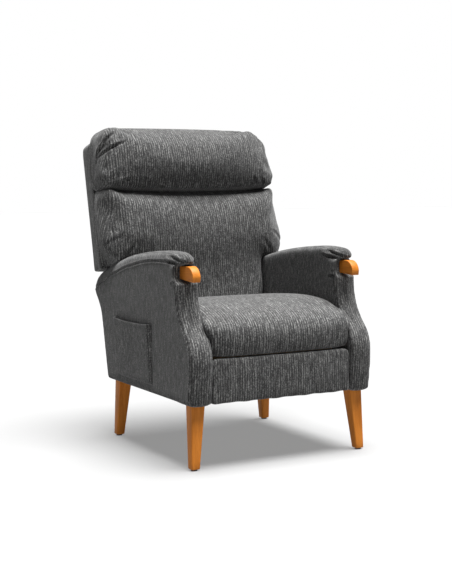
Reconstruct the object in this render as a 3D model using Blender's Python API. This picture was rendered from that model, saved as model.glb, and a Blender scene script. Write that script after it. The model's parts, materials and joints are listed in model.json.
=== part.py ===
"""High-back push-back recliner on four tapered wooden legs.

The fixed base is two padded arms on plywood side frames, joined by a rear rail and a
stretcher. The back turns on pins in the arms; its lower end drives the seat forward on
slide rails, and the seat carries the folding links of the footrest.

Lengths are in metres. While modelling, y is measured rearwards from the front panel's
plane and z upwards from the floor; CHAIR_CENTRE_Y then moves the middle to the origin.
"""
import math

import bmesh
import bpy
from mathutils import Vector

# ---------------------------------------------------------------- driving dimensions
CHAIR_CENTRE_Y = 0.4035      # about half-way between the arms' fronts and the back's rear edge
GAP = 0.0004                 # clearance between touching solids

ARM_OUT = 0.335              # arms, measured sideways from the centre line
ARM_IN = 0.2585
COVER = 0.016                # thickness of an arm's padding
BASE_Z = 0.209               # underside of the upholstered base
BASE_REAR = 0.655

LEG_TOP, LEG_FOOT = 0.046, 0.029
LEG_INSET_X, LEG_INSET_X_REAR = 0.018, 0.026
LEG_INSET_FRONT, LEG_INSET_REAR = 0.014, 0.006
LEG_SPLAY = 0.006
GLIDE_H = 0.004

KNUCKLE_IN, KNUCKLE_OUT = 0.281, 0.309

BACK_PIVOT = (0.72, 0.545)   # (y, z) of the back's hinge
BACK_LEAN = math.radians(13)
BACK_WIDE, BACK_NARROW = 0.348, 0.2435
BACK_TOP, WING_FOOT, BACK_FOOT = 0.50, 0.052, -0.225
BACK_FRONT, BACK_REAR = -0.066, 0.002
BACK_SKIN = 0.0075
SEAM_W = 0.318               # height of the seam between lumbar and headrest

SEAT_HALF = 0.2555           # seat cushion
SEAT_BOTTOM, SEAT_REAR = 0.3565, 0.498
FRAME_OUT, FRAME_IN = 0.230, 0.2005
FRAME_Z = (0.288, 0.345)
FRAME_Y = (0.060, 0.490)

LINK_PIVOT = (0.145, 0.300)  # footrest linkage
LINK_LENGTH = 0.12
LINK_REST = math.radians(200)
GUIDE_OFFSET = 0.045
GUIDE_ANGLE = math.radians(12)
FOOTREST_PIVOT = (0.045, 0.285)
LINK_WIDTH = 0.018
PIN_R, HOLE_R = 0.004, 0.0045
SPRING_CLEAR = 0.003         # a spring's wire stops this far short of its rails

PLANE_GUIDE = (0.2320, 0.2350)    # sideways layers of the mechanism
PLANE_FRONT = (0.2365, 0.2395)
PLANE_REAR = (0.2410, 0.2440)
PLANE_PLATE = (0.2455, 0.2485)
PLANE_DRIVE = (0.2495, 0.2525)
PLANE_RAIL = (0.2505, 0.2580)
PLANE_BRACKET = (0.2450, 0.2480)
PLANE_PIVOT = (0.2545, 0.2580)
CUT_LAYERS = (0.228, 0.270)       # wide enough for a hole through any one layer

RAIL_Z = 0.262
RAIL_HALF = 0.0125
RAIL_WALL = 0.0015

PANEL_BOTTOM, PANEL_TOP = 0.212, 0.346
PANEL_HALF = 0.2555

DRIVE_PIN = (0.665, 0.375)

SIDES = (("left", 1.0), ("right", -1.0))


# ---------------------------------------------------------------- scene and materials
def clear_scene():
    for obj in list(bpy.data.objects):
        bpy.data.objects.remove(obj, do_unlink=True)


def material(name, colour, roughness, metallic=0.0):
    mat = bpy.data.materials.new(name)
    mat.use_nodes = True
    shader = mat.node_tree.nodes["Principled BSDF"]
    shader.inputs["Base Color"].default_value = (*colour, 1.0)
    shader.inputs["Roughness"].default_value = roughness
    shader.inputs["Metallic"].default_value = metallic
    return mat


def empty(name, parent, location=(0.0, 0.0, 0.0), tilt=0.0):
    pivot = bpy.data.objects.new(name, None)
    pivot.location = location
    pivot.rotation_euler = (tilt, 0.0, 0.0)
    pivot.parent = parent
    bpy.context.collection.objects.link(pivot)
    return pivot


# ---------------------------------------------------------------- geometry helpers
def finish(name, bm, mat, parent):
    bmesh.ops.recalc_face_normals(bm, faces=bm.faces)
    mesh = bpy.data.meshes.new(name)
    bm.to_mesh(mesh)
    bm.free()
    obj = bpy.data.objects.new(name, mesh)
    if mat:
        mesh.materials.append(mat)
    obj.parent = parent
    bpy.context.collection.objects.link(obj)
    return obj


AXIS_ORDER = {
    "x": lambda a, u, v: (a, u, v),
    "y": lambda a, u, v: (u, a, v),
    "z": lambda a, u, v: (u, v, a),
}


def prism(name, axis, outline, start, end, mat, parent):
    """Extrude a closed outline, given across the axis, from start to end along it."""
    bm = bmesh.new()
    place = AXIS_ORDER[axis]
    face = bm.faces.new([bm.verts.new(place(start, u, v)) for u, v in outline])
    grown = bmesh.ops.extrude_face_region(bm, geom=[face])
    shift = Vector(place(end - start, 0.0, 0.0))
    bmesh.ops.translate(bm, vec=shift, verts=[g for g in grown["geom"] if isinstance(g, bmesh.types.BMVert)])
    return finish(name, bm, mat, parent)


def box(name, low, high, mat, parent, round_edges=0.0, segments=1):
    outline = [(low[1], low[2]), (high[1], low[2]), (high[1], high[2]), (low[1], high[2])]
    obj = prism(name, "x", outline, low[0], high[0], mat, parent)
    if round_edges:
        bevel(obj, round_edges, segments)
    return obj


def rod(name, centre, start, end, radius, mat, parent, sides=16):
    """A cylinder along x."""
    turn = [2 * math.pi * k / sides for k in range(sides)]
    outline = [(centre[0] + radius * math.cos(a), centre[1] + radius * math.sin(a)) for a in turn]
    return prism(name, "x", outline, start, end, mat, parent)


def bevel(obj, width, segments=2, angle=40):
    mod = obj.modifiers.new("round", "BEVEL")
    mod.width = width
    mod.segments = segments
    mod.limit_method = "ANGLE"
    mod.angle_limit = math.radians(angle)
    mod.use_clamp_overlap = True


def combine(obj, other, operation):
    mod = obj.modifiers.new(operation.lower(), "BOOLEAN")
    mod.operation = operation
    mod.solver = "EXACT"
    mod.object = other
    other.hide_render = True
    other.display_type = "WIRE"


def cut(obj, other):
    combine(obj, other, "DIFFERENCE")


def add(obj, other):
    combine(obj, other, "UNION")


def span(pair, side):
    """A sideways layer on the given side of the chair, lowest first."""
    return tuple(sorted(side * x for x in pair))


def curve_through(points, steps):
    """A smooth open line through the points (Catmull-Rom)."""
    ends = [points[0], *points, points[-1]]
    line = []
    for before, here, there, after in zip(ends, ends[1:], ends[2:], ends[3:]):
        for k in range(steps):
            t = k / steps
            line.append(tuple(
                0.5 * (2 * h + (n - b) * t + (2 * b - 5 * h + 4 * n - a) * t ** 2
                       + (3 * h - b - 3 * n + a) * t ** 3)
                for b, h, n, a in zip(before, here, there, after)))
    line.append(points[-1])
    return line


def inset(outline, distance):
    """Move an outline, listed clockwise or not, towards its inside."""
    count = len(outline)
    area = sum(outline[i - 1][0] * outline[i][1] - outline[i][0] * outline[i - 1][1] for i in range(count))
    turn = 1.0 if area > 0 else -1.0
    moved = []
    for i, (u, v) in enumerate(outline):
        before, after = outline[i - 1], outline[(i + 1) % count]
        first = Vector((u - before[0], v - before[1])).normalized()
        second = Vector((after[0] - u, after[1] - v)).normalized()
        normal_a = Vector((-first.y, first.x)) * turn
        normal_b = Vector((-second.y, second.x)) * turn
        middle = (normal_a + normal_b).normalized()
        reach = distance / max(0.35, middle.dot(normal_a))
        moved.append((u + middle.x * reach, v + middle.y * reach))
    return moved


def arc(centre, radius, start, end, steps):
    """Points on an arc, angles in degrees from +y (or +x) towards +z."""
    turn = [math.radians(start + (end - start) * k / steps) for k in range(steps + 1)]
    return [(centre[0] + radius * math.cos(a), centre[1] + radius * math.sin(a)) for a in turn]


def capsule(first, second, width, steps=5):
    """The outline of a flat link with round ends."""
    heading = math.degrees(math.atan2(second[1] - first[1], second[0] - first[0]))
    return (arc(second, width / 2, heading - 90, heading + 90, steps)
            + arc(first, width / 2, heading + 90, heading + 270, steps))


# ---------------------------------------------------------------- base
def arm_outline():
    """Side view of an arm: (y, z), from the lower front corner up and round."""
    front = [(-0.006, BASE_Z), (-0.016, 0.290), (-0.019, 0.350), (-0.006, 0.396), (0.026, 0.434),
             (0.055, 0.474), (0.072, 0.518), (0.078, 0.560), (0.072, 0.600), (0.056, 0.640)]
    top = [(0.054, 0.656), (0.068, 0.668), (0.110, 0.674), (0.190, 0.677), (0.300, 0.671), (0.400, 0.661),
           (0.500, 0.646), (0.600, 0.624), (0.686, 0.602), (0.734, 0.586), (0.762, 0.569)]
    rear = [(0.776, 0.545), (0.768, 0.514), (0.738, 0.480), (0.712, 0.444), (0.698, 0.395), (0.676, 0.295),
            (BASE_REAR, BASE_Z)]
    return curve_through(front + top + rear, 2)


def board_outline():
    """Side view of the plywood frame inside an arm, a padding's thickness inside its outline."""
    front = [(0.011, BASE_Z), (0.001, 0.290), (-0.002, 0.350), (0.010, 0.386), (0.042, 0.424), (0.072, 0.466),
             (0.092, 0.515), (0.106, 0.560), (0.1105, 0.586), (0.1105, 0.640)]
    top = [(0.122, 0.655), (0.190, 0.659), (0.300, 0.653), (0.500, 0.628), (0.686, 0.584), (0.742, 0.566)]
    rear = [(0.757, 0.543), (0.751, 0.520), (0.722, 0.490), (0.695, 0.450), (0.681, 0.398), (0.659, 0.299),
            (0.639, BASE_Z)]
    return front + top + rear


def knuckle_outline():
    """Side view of an arm's wooden front: flat on top, then a quarter round down to the nose."""
    return [(0.1095, 0.594), (0.1095, 0.636), *arc((0.053, 0.597), 0.039, 90, 172, 7), (0.0165, 0.587)]


def arms(base, fabric, ply, wood):
    outline = arm_outline()
    board = board_outline()
    cavity = inset(board, -2 * GAP)
    cavity[0] = (cavity[0][0], BASE_Z - 0.01)
    cavity[-1] = (cavity[-1][0], BASE_Z - 0.01)
    board[0] = (board[0][0], BASE_Z + GAP)
    board[-1] = (board[-1][0], BASE_Z + GAP)
    for name, side in SIDES:
        cover = prism(f"arm_cover_{name}", "x", outline, *span((ARM_IN, ARM_OUT), side), fabric, base)
        bevel(cover, 0.014, 2)
        inner = span((ARM_IN + COVER, ARM_OUT - COVER), side)
        cut(cover, prism(f"helper_cavity_{name}", "x", cavity, *inner, None, base))
        frame = prism(f"arm_frame_{name}", "x", board, inner[0] + 2 * GAP, inner[1] - 2 * GAP, ply, base)
        room = span((KNUCKLE_IN - GAP, KNUCKLE_OUT + GAP), side)
        socket = box(f"helper_knuckle_{name}", (room[0], 0.0, 0.5866), (room[1], 0.1099, 0.6364), None, base)
        cut(cover, socket)
        knuckle = prism(f"knuckle_{name}", "x", knuckle_outline(),
                        *span((KNUCKLE_IN, KNUCKLE_OUT), side), wood, base)
        bevel(knuckle, 0.0025, 1, 50)


def leg(name, corner_x, corner_y, splay_x, splay_y, wood, base):
    """A square leg whose two inner faces taper; the corner given is its outer top one."""
    bm = bmesh.new()
    inward = (-splay_x, -splay_y)
    rings = []
    for height, size, out in ((GLIDE_H + GAP, LEG_FOOT, LEG_SPLAY), (BASE_Z - GAP, LEG_TOP, 0.0)):
        x0, y0 = corner_x + splay_x * out, corner_y + splay_y * out
        x1, y1 = x0 + inward[0] * size, y0 + inward[1] * size
        rings.append([bm.verts.new((x, y, height)) for x, y in ((x0, y0), (x1, y0), (x1, y1), (x0, y1))])
    bm.faces.new(rings[0])
    bm.faces.new(rings[1])
    for k in range(4):
        bm.faces.new((rings[0][k], rings[0][k - 1], rings[1][k - 1], rings[1][k]))
    obj = finish(name, bm, wood, base)
    bevel(obj, 0.003, 1, 50)


def legs(base, wood, plastic):
    reach = LEG_FOOT / 2 - LEG_SPLAY
    places = (("front", LEG_INSET_X, LEG_INSET_FRONT, -1.0),
              ("rear", LEG_INSET_X_REAR, BASE_REAR - LEG_INSET_REAR, 1.0))
    for end, inset_x, y, splay_y in places:
        for name, side in SIDES:
            x = side * (ARM_OUT - inset_x)
            leg(f"leg_{end}_{name}", x, y, side, splay_y, wood, base)
            centre = (x - side * reach, y - splay_y * reach)
            disc = arc(centre, 0.0105, 0, 345, 23)
            prism(f"leg_glide_{end}_{name}", "z", disc, 0.0, GLIDE_H, plastic, base)


def cross_members(base, wood, cloth):
    half = ARM_IN - GAP
    box("rear_rail", (-half, 0.600, 0.214), (half, 0.626, 0.290), wood, base, 0.002)
    box("base_stretcher", (-half, 0.340, 0.213), (half, 0.372, 0.233), wood, base, 0.002)
    box("bottom_cover", (-0.254, 0.374, 0.2105), (0.254, 0.598, 0.2130), cloth, base)


def pocket(base, fabric):
    """A gusseted patch pocket on the sitter's right arm, open at the top."""
    low_y, high_y, low_z, top_z = 0.268, 0.572, 0.236, 0.438
    inner, outer, wall = ARM_OUT + GAP, ARM_OUT + 0.0145, 0.003
    outline = [(-inner, low_y), (-inner, high_y), (-outer, high_y), (-outer, low_y)]
    panel = prism("magazine_pocket", "z", outline, low_z, top_z, fabric, base)
    room = [(-inner + 0.01, low_y + wall), (-inner + 0.01, high_y - wall),
            (-outer + wall, high_y - wall), (-outer + wall, low_y + wall)]
    cut(panel, prism("helper_pocket", "z", room, low_z + wall, top_z + 0.01, None, base))


def slide_rails(base, steel):
    inner, outer = PLANE_RAIL
    low, high, wall = RAIL_Z - RAIL_HALF, RAIL_Z + RAIL_HALF, RAIL_WALL
    profile = [(inner, low), (outer, low), (outer, high), (inner, high), (inner, high - wall),
               (outer - wall, high - wall), (outer - wall, low + wall), (inner, low + wall)]
    for name, side in SIDES:
        prism(f"slide_rail_{name}", "y", [(side * x, z) for x, z in profile], 0.100, 0.530, steel, base)


def back_pivots(base, steel):
    y, z = BACK_PIVOT
    for name, side in SIDES:
        outline = capsule((y, z + 0.016), (y - 0.004, z - 0.040), 0.036)
        plate = prism(f"back_pivot_plate_{name}", "x", outline, *span(PLANE_PIVOT, side), steel, base)
        pin_span = span((PLANE_BRACKET[0] - 0.0008, PLANE_PIVOT[1] - 0.001), side)
        add(plate, rod(f"helper_pin_{name}", BACK_PIVOT, *pin_span, 0.005, steel, base))


# ---------------------------------------------------------------- seat carriage
def seat_outline():
    front = [(0.004, SEAT_BOTTOM), (-0.012, 0.366), (-0.021, 0.395), (-0.020, 0.430), (-0.006, 0.456)]
    top = [(0.040, 0.480), (0.130, 0.507), (0.250, 0.519), (0.380, 0.508), (0.470, 0.480), (SEAT_REAR, 0.462)]
    return curve_through(front + top, 2) + [(SEAT_REAR, SEAT_BOTTOM)]


def zigzag(name, line, radius, mat, parent):
    """A sinuous spring: one bent wire along the given points."""
    data = bpy.data.curves.new(name, "CURVE")
    data.dimensions = "3D"
    data.bevel_depth = radius
    data.bevel_resolution = 1
    data.use_fill_caps = True
    spline = data.splines.new("POLY")
    spline.points.add(len(line) - 1)
    for point, place in zip(spline.points, line):
        point.co = (*place, 1.0)
    data.materials.append(mat)
    obj = bpy.data.objects.new(name, data)
    obj.parent = parent
    bpy.context.collection.objects.link(obj)


def sinuous(start, end, across, amplitude, turns):
    """Points of a zigzag from start to end, swinging across by the amplitude."""
    start, end, across = Vector(start), Vector(end), Vector(across)
    line = [start]
    for k in range(turns):
        sign = 1 if k % 2 else -1
        for step in (0.15, 0.85):
            along = start.lerp(end, 0.04 + 0.92 * (k + step) / turns)
            line.append(along + across * amplitude * sign)
    line.append(end)
    return line


def seat(carriage, fabric, wood, steel, nylon):
    low, high = FRAME_Z
    front, rear = FRAME_Y
    half, deep = FRAME_IN - GAP, 0.028
    box("seat_rail_front", (-half, front, low), (half, front + deep, high), wood, carriage, 0.002)
    box("seat_rail_rear", (-half, rear - deep, low), (half, rear, high), wood, carriage, 0.002)
    cushion = prism("seat_cushion", "x", seat_outline(), -SEAT_HALF, SEAT_HALF, fabric, carriage)
    bevel(cushion, 0.022, 3)
    for k, x in enumerate((-0.11, 0.0, 0.11), start=1):
        ends = front + deep + SPRING_CLEAR, rear - deep - SPRING_CLEAR
        line = sinuous((x, ends[0], 0.338), (x, ends[1], 0.338), (1, 0, 0), 0.022, 14)
        zigzag(f"seat_spring_{k}", line, 0.0017, steel, carriage)
    for name, side in SIDES:
        rail = span((FRAME_IN, FRAME_OUT), side)
        side_rail = box(f"seat_rail_{name}", (rail[0], front, low), (rail[1], rear, high), wood, carriage)
        guide_pivot = guide_pivot_point()
        pin_span = span((FRAME_OUT - 0.002, PLANE_GUIDE[1] - 0.0002), side)
        add(side_rail, rod(f"helper_guide_pin_{name}", guide_pivot, *pin_span, PIN_R, wood, carriage))
        seat_plate(name, side, steel, carriage)
        block = span((PLANE_PLATE[1] + GAP, PLANE_RAIL[1] - RAIL_WALL - 0.0005), side)
        half = RAIL_HALF - RAIL_WALL - 0.0005
        box(f"glide_block_{name}", (block[0], 0.185, RAIL_Z - half), (block[1], 0.490, RAIL_Z + half),
            nylon, carriage)


def seat_plate(name, side, steel, carriage):
    """The steel side plate, its spacers to the seat rail, and the slotted drive plate."""
    outline = [(0.118, 0.289), (0.130, 0.276), (0.200, 0.240), (0.555, 0.240), (0.555, 0.334), (0.520, 0.344),
               (0.110, 0.344)]
    plate = prism(f"seat_side_plate_{name}", "x", outline, *span(PLANE_PLATE, side), steel, carriage)
    cut(plate, rod(f"helper_link_hole_{name}", LINK_PIVOT, *span(CUT_LAYERS, side), HOLE_R, None, carriage))
    for k, centre in enumerate(((0.128, 0.334), (0.300, 0.322), (0.460, 0.322))):
        add(plate, rod(f"helper_spacer_{name}_{k}", centre,
                       *span((FRAME_OUT + GAP, PLANE_PLATE[0] + 0.001), side), 0.006, steel, carriage))
    y, z = DRIVE_PIN
    arm = [(0.505, 0.284), (0.560, 0.284), (y + 0.026, 0.346), (y + 0.026, z + 0.062), (y - 0.026, z + 0.062),
           (y - 0.026, z - 0.004), (0.550, 0.332), (0.505, 0.332)]
    drive = prism(f"drive_plate_{name}", "x", arm, *span(PLANE_DRIVE, side), steel, carriage)
    slot = capsule((y, z - 0.002), (y, z + 0.042), 0.016)
    cut(drive, prism(f"helper_slot_{name}", "x", slot, *span(CUT_LAYERS, side), None, carriage))


# ---------------------------------------------------------------- back
def to_back(point):
    """A (y, z) place as (v, w) in the leaning frame of the back."""
    dy, dz = point[0] - BACK_PIVOT[0], point[1] - BACK_PIVOT[1]
    lean_cos, lean_sin = math.cos(BACK_LEAN), math.sin(BACK_LEAN)
    return dy * lean_cos - dz * lean_sin, dy * lean_sin + dz * lean_cos


def tee(wide, narrow, foot, shoulder, top, corner=0.03, steps=4):
    """Front view of the back: (x, w), wide above the arms and narrow between them."""
    half = [(narrow, foot), (narrow, shoulder), (wide, shoulder),
            *arc((wide - corner, top - corner), corner, 0, 90, steps)]
    return half + [(-x, w) for x, w in reversed(half)]


def back(recline, fabric, ply, wood, steel):
    outline = tee(BACK_WIDE, BACK_NARROW, BACK_FOOT, WING_FOOT, BACK_TOP)
    shell = prism("back_outer_cover", "y", outline, BACK_FRONT, BACK_REAR, fabric, recline)
    room = tee(BACK_WIDE - BACK_SKIN, BACK_NARROW - BACK_SKIN, BACK_FOOT + BACK_SKIN, WING_FOOT + BACK_SKIN,
               BACK_TOP - BACK_SKIN, 0.024)
    cut(shell, prism("helper_back_room", "y", room, BACK_FRONT - 0.01, BACK_REAR - BACK_SKIN, None, recline))

    front, rear = BACK_FRONT + GAP, BACK_REAR - BACK_SKIN - 0.002
    post_in, post_out = 0.198, BACK_NARROW - BACK_SKIN - 0.0006
    foot, head = BACK_FOOT + BACK_SKIN + GAP, 0.436
    top_half = BACK_WIDE - BACK_SKIN - 0.012
    box("back_top_rail", (-top_half, front, head + GAP), (top_half, rear, BACK_TOP - BACK_SKIN - 0.004),
        wood, recline)
    box("back_bottom_rail", (-post_in + GAP, front, foot), (post_in - GAP, rear, foot + 0.045), wood, recline)
    for name, side in SIDES:
        post = span((post_in, post_out), side)
        box(f"back_post_{name}", (post[0], front, foot), (post[1], rear, head), wood, recline)
        wing = span((post_out + GAP, BACK_WIDE - BACK_SKIN - 0.0006), side)
        low_corner = (wing[0], front, WING_FOOT + BACK_SKIN + GAP)
        box(f"back_wing_panel_{name}", low_corner, (wing[1], front + 0.012, head), ply, recline)
        back_bracket(name, side, steel, recline)
    for k, w in enumerate((0.02, 0.20), start=1):
        reach = post_in - SPRING_CLEAR
        line = sinuous((-reach, -0.055, w), (reach, -0.055, w), (0, 0, 1), 0.022, 14)
        zigzag(f"back_spring_{k}", line, 0.0017, steel, recline)


def back_bracket(name, side, steel, recline):
    pin = to_back(DRIVE_PIN)
    outline = [(-0.058, -0.190), (pin[0] + 0.011, -0.192), (pin[0] + 0.013, -0.120), (-0.008, -0.060),
               *arc((0.0, 0.0), 0.014, -60, 150, 6), (-0.030, 0.045), (-0.058, 0.045)]
    bracket = prism(f"back_bracket_{name}", "x", outline, *span(PLANE_BRACKET, side), steel, recline)
    cut(bracket, rod(f"helper_bracket_hole_{name}", (0.0, 0.0), *span(CUT_LAYERS, side), 0.0054,
                     None, recline))
    pin_span = span((PLANE_BRACKET[1] - 0.001, PLANE_DRIVE[1] + 0.0013), side)
    add(bracket, rod(f"helper_drive_pin_{name}", pin, *pin_span, PIN_R, steel, recline))


def back_cushions(recline, fabric):
    face = BACK_FRONT - GAP - 0.0006
    narrow, step = 0.241, -0.075
    upper = tee(0.347, ARM_IN - 0.002, step, WING_FOOT + 0.006, SEAM_W - 0.002, 0.02)
    lower = [(narrow, BACK_FOOT), (narrow, step - 0.050)]
    outline = lower + upper + [(-x, w) for x, w in reversed(lower)]
    lumbar = prism("lumbar_cushion", "y", outline, -0.180, face, fabric, recline)
    bevel(lumbar, 0.030, 3)
    profile = [(face, SEAM_W + 0.002), (face, 0.500), *arc((-0.118, 0.490), 0.048, 30, 165, 6),
               (-0.182, 0.455), (-0.192, 0.405), (-0.186, 0.350), (-0.168, SEAM_W + 0.002)]
    headrest = prism("headrest_cushion", "x", profile, -0.348, 0.348, fabric, recline)
    bevel(headrest, 0.026, 3)


# ---------------------------------------------------------------- footrest
def polar(start, length, angle):
    """A place at an angle from straight ahead (-y), turning upwards."""
    return start[0] - length * math.cos(angle), start[1] + length * math.sin(angle)


def guide_pivot_point():
    return polar(LINK_PIVOT, GUIDE_OFFSET, GUIDE_ANGLE)


def link(name, far, plane, side, hole_near, hole_far, steel, parent):
    """A flat link from the parent's origin to far, with a hole or nothing at each end."""
    bar = prism(name, "x", capsule((0.0, 0.0), far, LINK_WIDTH), *span(plane, side), steel, parent)
    for tag, wanted, centre in (("near", hole_near, (0.0, 0.0)), ("far", hole_far, far)):
        if wanted:
            cut(bar, rod(f"helper_{name}_{tag}", centre, *span((plane[0] - 0.01, plane[1] + 0.01), side),
                         HOLE_R, None, parent))
    return bar


def stud(bar, centre, pair, side, steel, parent):
    add(bar, rod(f"helper_stud_{bar.name}_{centre[0]:.3f}", centre, *span(pair, side), PIN_R, steel, parent))


def footrest(carriage, steel, ply, fabric):
    rear_pivot = empty("rear_link_pivot", carriage, (0.0, *LINK_PIVOT))
    guide = guide_pivot_point()
    guide_pivot = empty("guide_link_pivot", carriage, (0.0, *guide))
    knee = polar((0.0, 0.0), LINK_LENGTH, LINK_REST)
    front_pivot = empty("front_link_pivot", rear_pivot, (0.0, *knee))
    knee_place = (LINK_PIVOT[0] + knee[0], LINK_PIVOT[1] + knee[1])
    tip = (FOOTREST_PIVOT[0] - knee_place[0], FOOTREST_PIVOT[1] - knee_place[1])
    board_pivot = empty("footrest_pivot", front_pivot, (0.0, *tip))
    guide_end = (guide[0] - LINK_PIVOT[0], guide[1] - LINK_PIVOT[1])

    for name, side in SIDES:
        rear = link(f"footrest_rear_link_{name}", knee, PLANE_REAR, side, False, False, steel, rear_pivot)
        stud(rear, (0.0, 0.0), (PLANE_REAR[1] - 0.001, PLANE_PLATE[1] + 0.0008), side, steel, rear_pivot)
        stud(rear, knee, (PLANE_FRONT[0] + 0.0003, PLANE_REAR[0] + 0.001), side, steel, rear_pivot)
        bar = link(f"footrest_guide_link_{name}", knee, PLANE_GUIDE, side, True, False, steel, guide_pivot)
        stud(bar, knee, (PLANE_GUIDE[1] - 0.001, PLANE_FRONT[1] - 0.0003), side, steel, guide_pivot)
        front = link(f"footrest_front_link_{name}", tip, PLANE_FRONT, side, True, True, steel, front_pivot)
        ear = prism(f"helper_ear_{name}", "x", capsule((0.0, 0.0), guide_end, LINK_WIDTH),
                    *span(PLANE_FRONT, side), steel, front_pivot)
        add(front, ear)
        for tag, centre in (("knee", (0.0, 0.0)), ("ear", guide_end)):
            cut(front, rod(f"helper_front_{tag}_{name}", centre, *span(CUT_LAYERS, side), HOLE_R, None,
                           front_pivot))
        footrest_bracket(name, side, steel, board_pivot)
    footrest_panel(board_pivot, ply, fabric)


def local_panel(y, z):
    return y - FOOTREST_PIVOT[0], z - FOOTREST_PIVOT[1]


def footrest_bracket(name, side, steel, pivot):
    """A steel tab fixed to the rear of the board, with the stud that the front link turns on."""
    y0, z0 = local_panel(0.0218, 0.268)
    y1, z1 = local_panel(0.0218, 0.306)
    outline = [(y0, z0), *arc((0.0, 0.0), 0.010, -70, 70, 5), (y1, z1)]
    tab = prism(f"footrest_bracket_{name}", "x", outline, *span(PLANE_GUIDE, side), steel, pivot)
    stud(tab, (0.0, 0.0), (PLANE_GUIDE[1] - 0.001, PLANE_FRONT[1] - 0.0003), side, steel, pivot)


def footrest_panel(pivot, ply, fabric):
    """The plywood board and the padded cover that wraps its front, top, bottom and ends."""
    half = PANEL_HALF
    y_front, z_low = local_panel(-0.012, PANEL_BOTTOM)
    y_rear, z_high = local_panel(0.0214, PANEL_TOP)
    corner = 0.018
    shape = [(-half, z_low), (half, z_low), *arc((half - corner, z_high - corner), corner, 0, 90, 4)]
    shape += arc((-half + corner, z_high - corner), corner, 90, 180, 4)
    pad = prism("footrest_pad", "y", shape, y_front, y_rear, fabric, pivot)
    bevel(pad, 0.006, 2)
    room = inset(shape, 0.010)
    back_room = prism("helper_footrest_room", "y", room, y_rear - 0.012, y_rear + 0.01, None, pivot)
    cut(pad, back_room)
    prism("footrest_board", "y", inset(shape, 0.0105), y_rear - 0.0115, y_rear - 0.0005, ply, pivot)


# ---------------------------------------------------------------- assembly
def build():
    clear_scene()
    fabric = material("fabric_grey", (0.10, 0.10, 0.105), 0.95)
    wood = material("wood_oak", (0.45, 0.17, 0.05), 0.45)
    frame_wood = material("wood_frame", (0.55, 0.38, 0.22), 0.7)
    steel = material("steel_black", (0.05, 0.05, 0.055), 0.45, 0.8)
    wire = material("steel_wire", (0.35, 0.35, 0.36), 0.4, 1.0)
    nylon = material("nylon_white", (0.75, 0.75, 0.72), 0.4)
    plastic = material("plastic_black", (0.02, 0.02, 0.02), 0.5)
    lining = material("lining_black", (0.02, 0.02, 0.022), 0.95)

    base = empty("chair", None, (0.0, -CHAIR_CENTRE_Y, 0.0))
    carriage = empty("seat_glide_axis", base)
    recline = empty("back_recline_axis", base, (0.0, *BACK_PIVOT), -BACK_LEAN)

    legs(base, wood, plastic)
    arms(base, fabric, frame_wood, wood)
    cross_members(base, frame_wood, lining)
    pocket(base, fabric)
    slide_rails(base, steel)
    back_pivots(base, steel)
    seat(carriage, fabric, frame_wood, wire, nylon)
    back(recline, fabric, frame_wood, frame_wood, wire)
    back_cushions(recline, fabric)
    footrest(carriage, steel, frame_wood, fabric)


build()
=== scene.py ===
"""Looks of the high-back push-back recliner: upholstery, wood, mechanism finishes, light and camera.

The row frame is in metres, +Z up, and the chair faces -Y. Outlines that were designed from the
plane of the front panel are moved by front(), which takes that plane from the CAD frame.
"""
import json
import math

import bpy
import numpy as np
from mathutils import Matrix, Vector


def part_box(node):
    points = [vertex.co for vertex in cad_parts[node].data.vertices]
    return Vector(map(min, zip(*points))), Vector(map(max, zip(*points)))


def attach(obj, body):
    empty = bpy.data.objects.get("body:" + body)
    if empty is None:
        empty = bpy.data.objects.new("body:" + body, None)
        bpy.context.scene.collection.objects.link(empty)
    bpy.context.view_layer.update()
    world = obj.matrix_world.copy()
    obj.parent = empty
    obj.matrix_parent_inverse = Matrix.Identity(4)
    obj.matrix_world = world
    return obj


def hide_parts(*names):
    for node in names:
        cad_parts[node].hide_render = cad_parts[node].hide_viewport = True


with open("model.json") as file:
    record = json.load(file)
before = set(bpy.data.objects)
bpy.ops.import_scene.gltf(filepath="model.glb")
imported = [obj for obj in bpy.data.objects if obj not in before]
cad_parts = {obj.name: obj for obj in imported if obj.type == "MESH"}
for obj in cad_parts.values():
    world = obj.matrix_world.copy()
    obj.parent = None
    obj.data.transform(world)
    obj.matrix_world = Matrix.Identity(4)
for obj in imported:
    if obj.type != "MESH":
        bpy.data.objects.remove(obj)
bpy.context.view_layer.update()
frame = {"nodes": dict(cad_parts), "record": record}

# ---------------------------------------------------------------- places taken from the frame
ARM_LOW, ARM_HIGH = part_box("arm_cover_left")
ARM_BELLY = 0.0193                      # how far the arms' bellies stand in front of the panel's plane
FRONT_PLANE = ARM_LOW[1] + ARM_BELLY
ARM_IN, ARM_OUT = ARM_LOW[0], ARM_HIGH[0]
ARM_MIDDLE = (ARM_IN + ARM_OUT) / 2
BASE_Z = ARM_LOW[2]
SEAT_LOW, SEAT_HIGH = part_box("seat_cushion")
PAD_LOW, PAD_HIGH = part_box("footrest_pad")
KNUCKLE_LOW, KNUCKLE_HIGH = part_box("knuckle_left")
RECLINE = next(j for j in frame["record"]["behaviour"]["joints"] if j["name"] == "back_recline")
BACK_PIVOT = Vector(RECLINE["pos_m"])
BACK_LEAN = math.radians(13)
BACK_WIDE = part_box("back_outer_cover")[1][0]

UNDERSIDE = 0.003                       # soft lower edges hang this far below the frame
ARM_VOXEL, CUSHION_VOXEL, PAD_VOXEL = 0.0055, 0.006, 0.005      # mesh sizes before subdividing

SIDES = (("left", 1.0), ("right", -1.0))


def front(y):
    """A distance behind the front panel's plane, as a y in the row frame."""
    return y + FRONT_PLANE


# ---------------------------------------------------------------- mesh helpers
def link(obj):
    bpy.context.collection.objects.link(obj)
    return obj


def mesh_object(name, points, faces):
    mesh = bpy.data.meshes.new(name)
    mesh.from_pydata([tuple(p) for p in points], [], [tuple(f) for f in faces])
    mesh.validate()
    return link(bpy.data.objects.new(name, mesh))


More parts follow.
